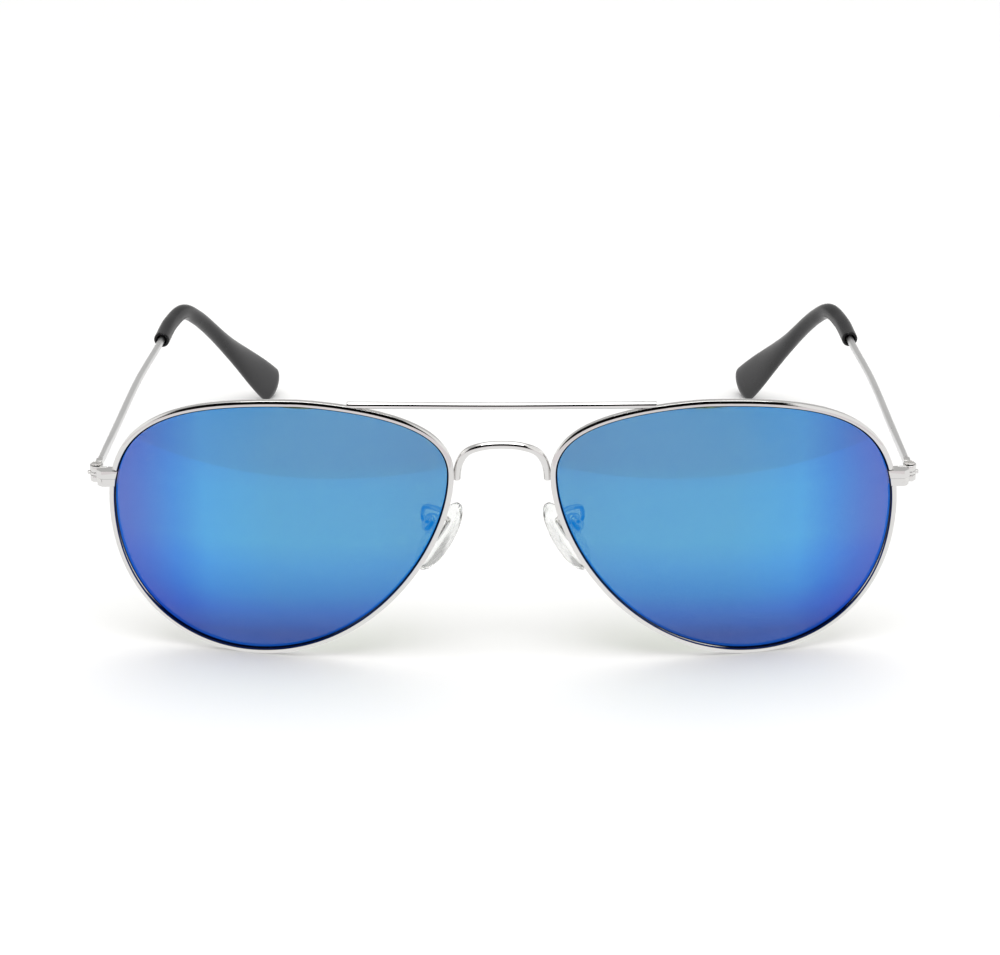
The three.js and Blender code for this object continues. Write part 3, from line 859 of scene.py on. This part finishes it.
def hinge_screw(side, name):
    place = np.array([HINGE[0], HINGE[1], BLOCK_HIGH + 0.05])
    thing = screw(f"hinge_screw_{name}_smooth", SCREW_RADIUS, BLOCK_HIGH - BLOCK_LOW, 0.85, 0.24,
                  place, np.eye(3), side, math.radians(35 if side > 0 else 62))
    finished(thing, "front", f"hinge_screw_{name}")


def closing_screw(side, name):
    place = np.array([68.6, 7.45, BLOCK_LOW + 0.32])
    thing = screw(f"closing_screw_{name}_smooth", SCREW_RADIUS, 1.75, 0.62, 0.3,
                  place, np.diag([1.0, -1.0, -1.0]), side, math.radians(20))
    finished(thing, "front", f"closing_screw_{name}")


# ---- Nose pads ----


def pad_turn():
    """The pad's frame: X towards the nose, Y along its width, Z up its length."""
    across = np.array([math.sin(PAD_SPLAY), math.cos(PAD_SPLAY), 0])
    up = np.array([-math.sin(PAD_LEAN), 0, math.cos(PAD_LEAN)])
    up = unit(up - across * up.dot(across))
    nose = unit(np.cross(across, up))
    if nose[0] > 0:
        nose = -nose
    return np.stack([nose, np.cross(up, nose), up], 1)


PAD_TURN = pad_turn()


def nose_pad():
    """A rounded drop, narrower at the top, with a flatter back than contact face."""
    rings = []
    for latitude in np.linspace(-90, 90, 49)[1:-1]:
        z = 0.5 * math.sin(math.radians(latitude))
        radius = 0.5 * math.cos(math.radians(latitude))
        ring = []
        for k in range(64):
            turn = 2 * math.pi * k / 64
            x, y = radius * math.cos(turn), radius * math.sin(turn)
            flat = math.copysign(abs(2 * x) ** 0.8 * 0.5, x) * (0.8 if x < 0 else 1.2)
            ring.append(np.array([flat * PAD_THICKNESS, y * (1 - 0.22 * z) * PAD_WIDTH,
                                  z * PAD_LENGTH]))
        rings.append(ring)
    return swept(rings).moved(PAD_TURN, PAD_CENTRE)


def pad_core():
    """The metal insert: a plate with a window, and the shank that the screw goes through."""
    shape = Shape()
    half_width, half_height, window = 1.3, 2.4, 0.55
    outer = section(np.zeros(3), np.array([0, 1.0, 0]), np.array([0, 0, 1.0]),
                    half_width, half_height, 48, 4)
    inner = section(np.zeros(3), np.array([0, 1.0, 0]), np.array([0, 0, 1.0]),
                    half_width * window, half_height * 0.68, 48, 4)
    thickness = 0.55
    rows = []
    for points, x in ((inner, -1), (outer, -1), (outer, 1), (inner, 1)):
        offset = np.array([PLATE_X + x * thickness / 2, 0, PAD_MOUNT_UP])
        rows.append(shape.ring([p + offset for p in points]))
    for first, second in zip(rows, [*rows[1:], rows[0]]):
        shape.bridge(first, second)
    return shape.moved(PAD_TURN, PAD_CENTRE)


def pad_shank():
    """The shank behind the plate, which reaches into the box."""
    low = (BOX_X - 0.5, -0.55, PAD_MOUNT_UP - 0.85)
    return box(low, (PLATE_X, 0.55, PAD_MOUNT_UP + 0.85)).moved(PAD_TURN, PAD_CENTRE)


def pad_box():
    """The round cup on the arm, domed at its back."""
    low = -BOX_DEPTH / 2
    profile = [
        (BOX_RADIUS * 0.42, low), (BOX_RADIUS * 0.62, low + 0.05), (BOX_RADIUS * 0.8, low + 0.22),
        (BOX_RADIUS * 0.93, low + 0.55), (BOX_RADIUS, low + 1.0),
        (BOX_RADIUS, -low - 0.12), (BOX_RADIUS - 0.12, -low),
    ]
    to_axis = np.array([[0, 0, 1.0], [0, 1.0, 0], [-1.0, 0, 0]])
    shape = turned(profile).moved(to_axis, np.array([BOX_X - BOX_SET_BACK, 0, PAD_MOUNT_UP]))
    return shape.moved(PAD_TURN, PAD_CENTRE)


def pad_pieces(side, name):
    """The pad and its core, which rock together, and the box and screw that hold them."""
    body = f"pad_{name}"
    pad = to_mesh(f"nose_pad_{name}_smooth", nose_pad(), [SILICONE], side)
    finished(shaded(pad, 60), body, f"nose_pad_{name}")
    core = to_mesh(f"pad_core_{name}_smooth", pad_core(), [CHROME], side)
    bevelled(core, 0.06, 2)
    shank = bevelled(to_mesh("shank", pad_shank(), [CHROME], side), 0.1)
    merge(core, shank)
    finished(core, body, f"pad_core_{name}")
    cup = to_mesh(f"pad_box_{name}_smooth", pad_box(), [CHROME], side)
    mouth = box((BOX_X - 0.75, -0.67, PAD_MOUNT_UP - 1.2),
                        (BOX_X + 2.65, 0.67, PAD_MOUNT_UP + 1.2)).moved(PAD_TURN, PAD_CENTRE)
    carved(cup, to_mesh("mouth", mouth, [CHROME], side))
    bevelled(cup, 0.06, 2, 40)
    finished(cup, "front", f"pad_box_{name}")
    to_screw = np.array([[1.0, 0, 0], [0, 0, 1.0], [0, -1.0, 0]])
    place = PAD_CENTRE + PAD_TURN @ np.array([BOX_X, BOX_RADIUS + 0.08, PAD_MOUNT_UP])
    bolt = screw(f"pad_screw_{name}_smooth", 0.34, 3.2, 0.6, 0.3, place, PAD_TURN @ to_screw, side)
    finished(bolt, "front", f"pad_screw_{name}")


def pad_arm():
    """The wire from the rim, round behind the lens, to the back of the pad box."""
    nose, up = PAD_TURN[:, 0], PAD_TURN[:, 2]
    end = PAD_CENTRE + up * PAD_MOUNT_UP + nose * (BOX_X - BOX_SET_BACK - BOX_DEPTH / 2 - 0.02)
    points = [(9.8, 2.1, 28.1), (9.9, 2.72, 28.0), (10.3, 4.9, 27.8), (11.7, 7.2, 27.5),
              (13.6, 8.8, 26.8), end - nose * 0.7, end]
    return wire(points, ARM_RADIUS, 60, 24, 0.15)


# ---- Temples ----

TEMPLE = Path([
    (69.65, 12.5, 33.9), (69.0, 30, 32.8), (67.95, 55, 31.4), (66.3, 76, 30.1), (65.1, 86, 30.5),
    (63.4, 92.6, 30.1), (61.3, 97.8, 26.8), (55.9, 108.8, 15.6), (48.6, 122.6, 1.1),
])


def temple_ring(share, thick, height, twist, count, power=2.0):
    """A section across the temple's line, twisted about it."""
    along = TEMPLE.along(share)
    up = unit(np.cross([1.0, 0, 0], along))
    side = unit(np.cross(up, along))
    c, s = math.cos(twist), math.sin(twist)
    turned_up = up * c + np.cross(along, up) * s
    turned_side = side * c + np.cross(along, side) * s
    return section(TEMPLE.at(share), turned_side, turned_up, thick, height, count, power)


def temple_arm():
    """The metal temple: flattened at the hinge, round further back."""
    rings = []
    for share in np.linspace(0, 0.93, 130):
        rounding = smoothstep(share, FLATTENED)
        thick = mix(TEMPLE_HALF_THICKNESS, WIRE_RADIUS, rounding)
        height = mix(TEMPLE_HALF_HEIGHT, WIRE_RADIUS, rounding)
        rings.append(temple_ring(share, thick, height, 0, 28, mix(3.2, 2.0, rounding)))
    return swept([list(reversed(r)) for r in rings])


def tip_size(share):
    """Half the tip's thickness and width at a share of the temple, and its twist there."""
    spread = smoothstep(share, SPREAD)
    past = max(0.0, share - TIP_END_ROUNDING) / (1 - TIP_END_ROUNDING)
    blunt = math.sqrt(max(0.0, 1 - 0.96 * past**2))
    width = mix(TIP_MOUTH_RADIUS, PADDLE_HALF_WIDTH, spread) * blunt
    thick = mix(TIP_MOUTH_RADIUS, PADDLE_HALF_THICKNESS, spread) * blunt
    return thick, width, PADDLE_TWIST * spread


def temple_tip():
    """The black sleeve: its mouth is open round the wire, and its end is a flat paddle.

    The lowest part is cut flat, to stand on.
    """
    rings = []
    lip = 0.18
    for depth in (6.0, 2.4, 0.0):
        radius = mix(TIP_BORE_RADIUS, WIRE_RADIUS * 1.02, smoothstep(depth, (0.5, 5.0)))
        rings.append(temple_ring(TIP_START + depth / TEMPLE.length, radius, radius, 0, 48))
    for turn in (150, 120, 90, 60, 30):
        out = lip * (1 + math.cos(math.radians(turn)))
        back = lip * (1 - math.sin(math.radians(turn)))
        radius = TIP_MOUTH_RADIUS - 2 * lip + out
        rings.append(temple_ring(TIP_START + back / TEMPLE.length, radius, radius, 0, 48))
    end = 1 - TIP_END_ROUNDING
    ends = [TIP_END_ROUNDING + end * math.sin(math.radians(a)) for a in range(5, 91, 5)]
    for share in [*np.linspace(TIP_START + 0.003, TIP_END_ROUNDING, 110), *ends]:
        thick, width, twist = tip_size(share)
        rings.append(temple_ring(share, thick, width, twist, 48))
    rings = [list(reversed(r)) for r in rings]
    shape = swept(rings)
    for point in shape.points:
        point[2] = max(point[2], 0.0)
    return shape


# ---- Assembly ----


def build_side(side, name):
    """Every piece of one side, in the wearer's terms: side 1 is left and side -1 is right."""
    eyewire = to_mesh(f"rim_{name}_smooth", rim(), [CHROME, RIM_WALL_PAINTED_SHADE], side)
    finished(shaded(eyewire, 45), "front", f"rim_{name}")
    glass_shape = lens()
    glass = to_mesh(f"lens_{name}_smooth", glass_shape, [COAT, SMOKE, LENS_EDGE_PAINTED_SHADE], side)
    with_lens_places(glass, glass_shape)
    finished(shaded(glass, 30), "front", f"lens_{name}")
    block_half("end_piece", name, "front")
    block_half("closing_block", name, "front")
    closing_screw(side, name)
    front_hinge(side, name)
    hinge_screw(side, name)
    temple_hinge(side, name)
    arm = to_mesh(f"pad_arm_{name}_smooth", pad_arm(), [CHROME], side)
    finished(shaded(arm), "front", f"pad_arm_{name}")
    pad_pieces(side, name)
    temple = to_mesh(f"temple_arm_{name}_smooth", temple_arm(), [SATIN], side)
    finished(shaded(temple), f"temple_{name}", f"temple_arm_{name}")
    tip = to_mesh(f"temple_tip_{name}_smooth", temple_tip(), [TIP], side)
    finished(shaded(tip, 60), f"temple_{name}", f"temple_tip_{name}")


build_side(1, "left")
build_side(-1, "right")
finished(shaded(to_mesh("bridge_smooth", bridge(), [CHROME])), "front", "bridge")
finished(shaded(to_mesh("brow_bar_smooth", brow_bar(), [CHROME])), "front",
         "brow_bar")


# ---- Studio ----


def plane(name, size, place, material):
    """A level rectangle that belongs to the studio."""
    mesh = bpy.data.meshes.new(name)
    x, y = size[0] / 2, size[1] / 2
    mesh.from_pydata([(-x, -y, 0), (x, -y, 0), (x, y, 0), (-x, y, 0)], [], [(0, 1, 2, 3)])
    mesh.materials.append(material)
    thing = bpy.data.objects.new(name, mesh)
    thing.location = place
    bpy.context.scene.collection.objects.link(thing)
    return thing


def glowing(name, colour):
    """A material that gives off its own light, evenly."""
    material = bpy.data.materials.new(name)
    material.use_nodes = True
    tree = material.node_tree
    tree.nodes.clear()
    glow = tree.nodes.new("ShaderNodeEmission")
    glow.inputs["Color"].default_value = (*colour, 1)
    out = tree.nodes.new("ShaderNodeOutputMaterial")
    tree.links.new(glow.outputs["Emission"], out.inputs["Surface"])
    return material


def table_card(name, back, front, colour):
    """A stretch of the table top as it shows in reflections only."""
    thing = plane(name, (4, back - front), (0, (back + front) / 2, 0), glowing(name, colour))
    thing.visible_camera = False
    thing.visible_diffuse = False
    thing.visible_transmission = False
    thing.visible_shadow = False


def backdrop():
    """Pale walls round the floor; they light nothing and show in nothing."""
    mesh = bpy.data.meshes.new("backdrop")
    reach, height = 2.98, 3.0
    corners = [(-reach, -reach), (reach, -reach), (reach, reach), (-reach, reach)]
    mesh.from_pydata([(x, y, z) for z in (0, height) for x, y in corners], [],
                     [(0, 4, 5, 1), (1, 5, 6, 2), (2, 6, 7, 3), (3, 7, 4, 0), (4, 7, 6, 5)])
    mesh.materials.append(glowing("backdrop_paper", (0.9, 0.9, 0.895)))
    thing = bpy.data.objects.new("backdrop", mesh)
    bpy.context.scene.collection.objects.link(thing)
    thing.visible_diffuse = False
    thing.visible_glossy = False
    thing.visible_transmission = False
    thing.visible_shadow = False


def lamp(name, size, place, target, watts):
    """A rectangular soft light aimed at a target."""
    data = bpy.data.lights.new(name, "AREA")
    data.shape = "RECTANGLE"
    data.size, data.size_y = size
    data.energy = watts
    thing = bpy.data.objects.new(name, data)
    thing.location = place
    aim = Vector(target) - Vector(place)
    thing.rotation_euler = aim.to_track_quat("-Z", "Y").to_euler()
    bpy.context.scene.collection.objects.link(thing)


def studio():
    """A pale floor under a bright ceiling, with a dark room in front of the glasses."""
    world = bpy.data.worlds.new("studio")
    bpy.context.scene.world = world
    world.use_nodes = True
    tree = world.node_tree
    place = tree.nodes.new("ShaderNodeTexCoord")
    split = tree.nodes.new("ShaderNodeSeparateXYZ")
    tree.links.new(place.outputs["Generated"], split.inputs["Vector"])

    def part(axis, start, end):
        """0 before start and 1 after end along one axis of the direction looked in."""
        node = tree.nodes.new("ShaderNodeMapRange")
        node.interpolation_type = "SMOOTHSTEP"
        node.inputs["From Min"].default_value = start
        node.inputs["From Max"].default_value = end
        tree.links.new(split.outputs[axis], node.inputs["Value"])
        return node.outputs["Result"]

    def blended(factor, a, value):
        node = tree.nodes.new("ShaderNodeMix")
        tree.links.new(factor, node.inputs["Factor"])
        if isinstance(a, float):
            node.inputs["A"].default_value = a
        else:
            tree.links.new(a, node.inputs["A"])
        node.inputs["B"].default_value = value
        return node.outputs["Result"]

    ceiling = part("Z", *CEILING_EDGE)
    light = blended(part("Y", *DARK_ROOM_EDGE), ROOM, DARK_ROOM)
    for edge in (WINDOW_EDGE, SIDE_EDGE):
        light = blended(part("X", *edge), light, WINDOW)
    light = blended(ceiling, light, CEILING)
    tree.links.new(light, tree.nodes["Background"].inputs["Strength"])
    tree.nodes["Background"].inputs["Color"].default_value = (1, 0.995, 0.98, 1)
    floor = plane("floor", (6, 6), (0, 0, -0.00002), paper("floor_paper", 0.9))
    floor.visible_glossy = False
    lamp("front_top", (1.0, 0.5), (0.0, -0.42, 0.95), (0, -0.05, 0.0), 4.0)
    lamp("overhead", (0.9, 0.7), (0.0, 0.25, 0.95), (0, 0, 0.02), 1.0)
    backdrop()
    table_card("near_table", TABLE_NEAR, TABLE_EDGE, (0.96, 0.955, 0.95))
    table_card("far_table", TABLE_EDGE, TABLE_FAR, (0.87, 0.82, 0.83))


def camera():
    """A long lens in front of and above the glasses."""
    data = bpy.data.cameras.new("camera")
    data.sensor_width = 36
    data.lens = 114.12
    elevation, azimuth, roll = math.radians(24.5), math.radians(0.6), math.radians(-0.3)
    distance = 0.535
    aim = Vector((-0.00034, -0.06183, 0.03674))
    back = Vector((math.sin(azimuth) * math.cos(elevation), -math.cos(azimuth) * math.cos(elevation),
                   math.sin(elevation)))
    thing = bpy.data.objects.new("camera", data)
    bpy.context.scene.collection.objects.link(thing)
    turn = (-back).to_track_quat("-Z", "Y").to_matrix() @ Matrix.Rotation(roll, 3, "Z")
    thing.matrix_world = Matrix.Translation(aim + back * distance) @ turn.to_4x4()
    data.clip_start, data.clip_end = 0.01, 20
    bpy.context.scene.camera = thing


studio()
camera()
bpy.context.scene.view_settings.view_transform = "Standard"
